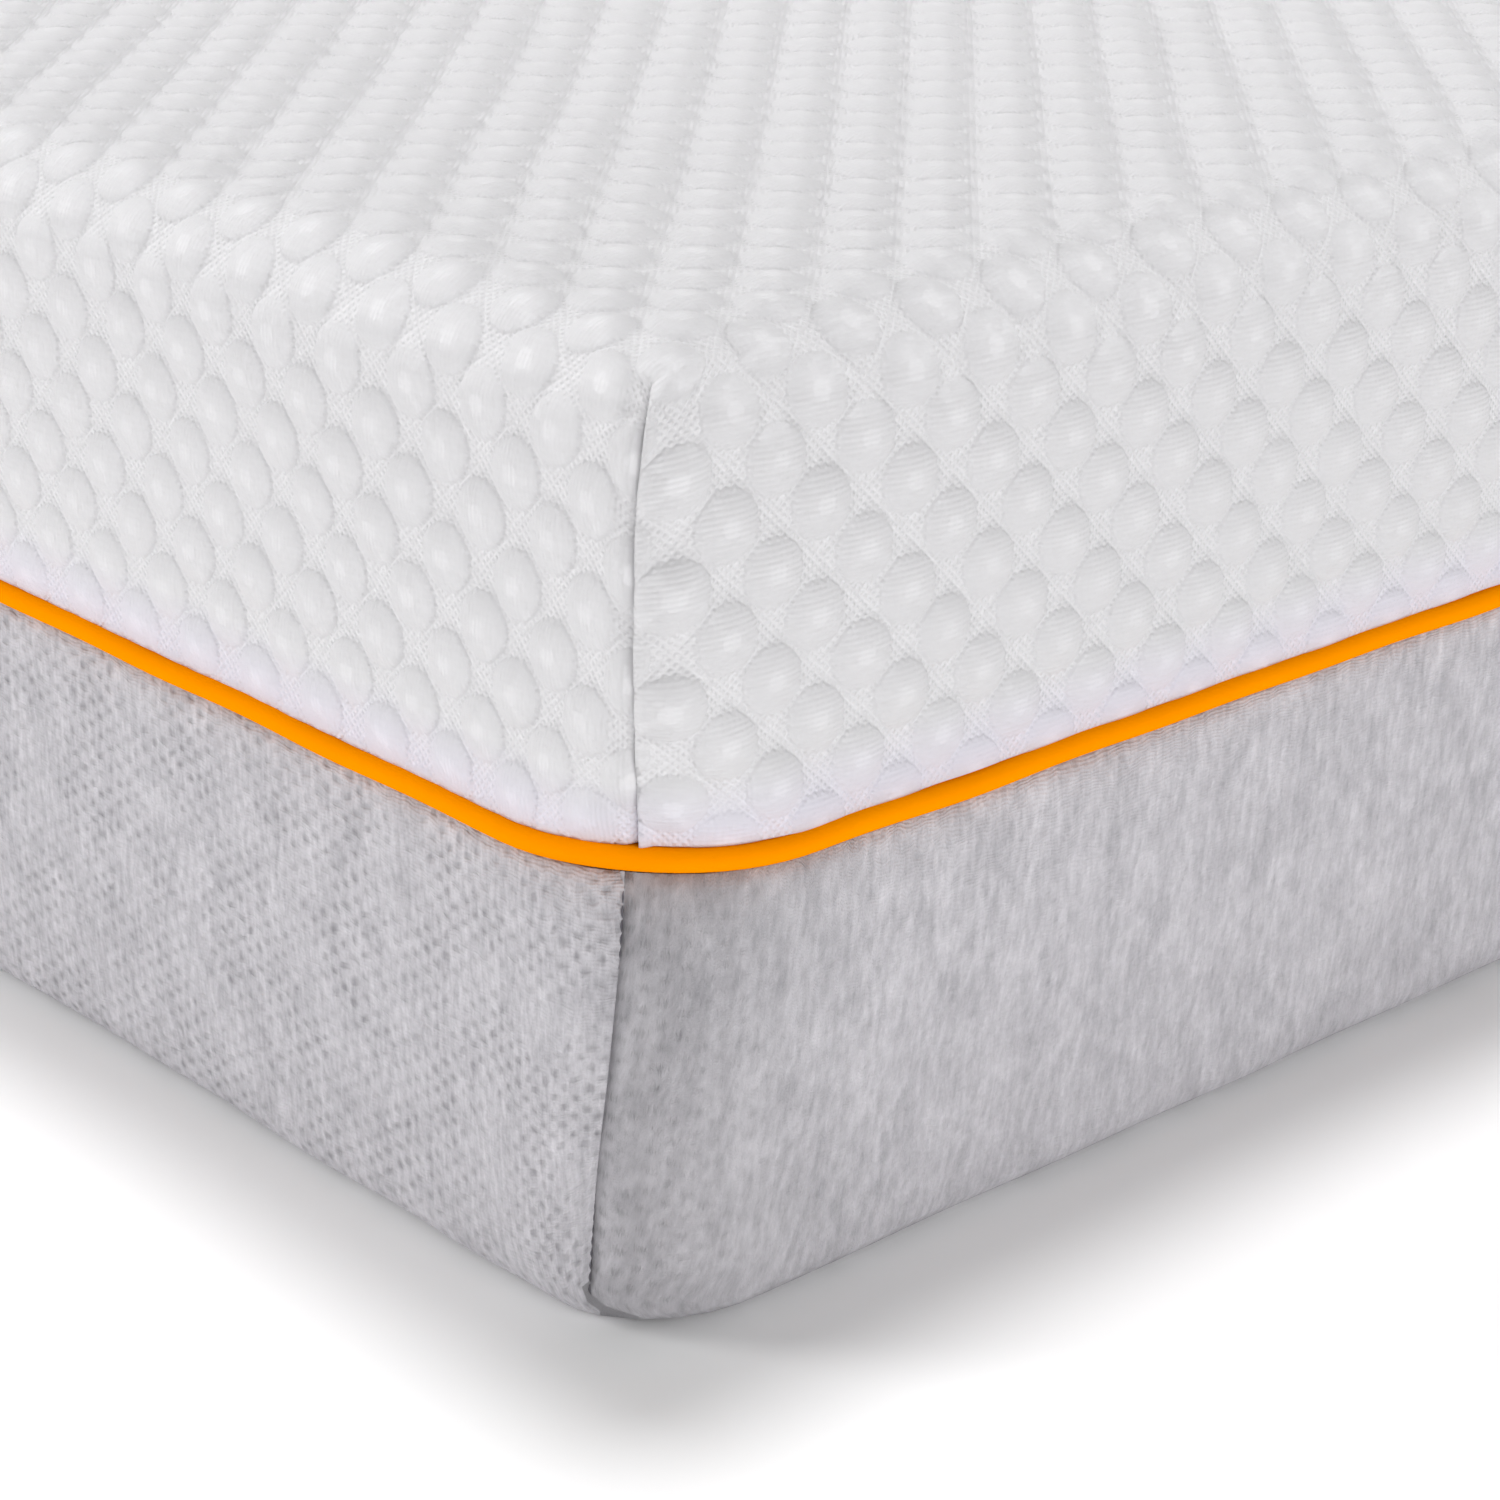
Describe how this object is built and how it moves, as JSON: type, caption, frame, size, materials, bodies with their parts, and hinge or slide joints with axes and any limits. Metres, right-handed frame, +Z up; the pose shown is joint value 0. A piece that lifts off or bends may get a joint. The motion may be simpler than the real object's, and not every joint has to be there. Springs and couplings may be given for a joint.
{
  "type": "memory foam mattress",
  "caption": "Single memory foam mattress: layered foam core in a zip-off cover, white bubble-knit top half over a grey melange base half, orange piping at the join.",
  "frame": {"origin": "centre of the underside, on the surface that the mattress lies on", "axes": "+Z up, +Y along the length towards the head end, +X across the width"},
  "size_m": [0.9, 1.9, 0.2],
  "materials": {
    "white_bubble_knit": "matt raised bubble knit",
    "grey_melange_knit": "matt melange knit with fine dimples",
    "orange_piping": "smooth satin bias tape",
    "white_filler_cord": "twisted cotton",
    "white_seam": "turned-in knit edges with thread",
    "grey_seam": "turned-in knit edges with dark thread",
    "zip_tape": "woven polyester",
    "zip_coil": "nylon coil",
    "zip_metal": "satin plated",
    "label_satin": "satin",
    "sock_jersey": "thin jersey",
    "memory_foam": "fine open-cell viscoelastic foam",
    "comfort_foam": "open-cell foam",
    "support_foam": "coarse open-cell foam"
  },
  "bodies": {
    "root": {"base_cover_panel": "grey_melange_knit", "base_corner_seam_foot_left": "grey_seam", "base_corner_seam_foot_right": "grey_seam", "base_corner_seam_head_right": "grey_seam", "base_corner_seam_head_left": "grey_seam", "lower_zip_tape": "zip_tape", "lower_zip_coil": "zip_coil", "lower_zip_stop": "zip_metal", "care_label": "label_satin", "inner_sock": "sock_jersey", "support_foam": "support_foam", "comfort_foam": "comfort_foam", "memory_foam": "memory_foam"},
    "top_cover": {"top_cover_panel": "white_bubble_knit", "top_corner_seam_foot_left": "white_seam", "top_corner_seam_foot_right": "white_seam", "top_corner_seam_head_right": "white_seam", "top_corner_seam_head_left": "white_seam", "piping_sleeve": "orange_piping", "piping_cord": "white_filler_cord", "upper_zip_tape": "zip_tape", "upper_zip_coil": "zip_coil", "upper_zip_stop": "zip_metal"},
    "slider": {"zip_slider": "zip_metal"},
    "pull": {"zip_pull_tab": "zip_metal"}
  },
  "joints": [
    {"name": "cover_lift", "type": "slide", "parent": "root", "child": "top_cover", "axis": [0, 0, 1], "range_m": [0, 0.25]},
    {"name": "zip_travel", "type": "slide", "parent": "root", "child": "slider", "axis": [-1, 0, 0], "range_m": [0, 0.644]},
    {"name": "pull_swing", "type": "hinge", "parent": "slider", "child": "pull", "pos_m": [0.322, 0.94785, 0.0924], "axis": [1, 0, 0], "range_deg": [0, 100]}
  ]
}
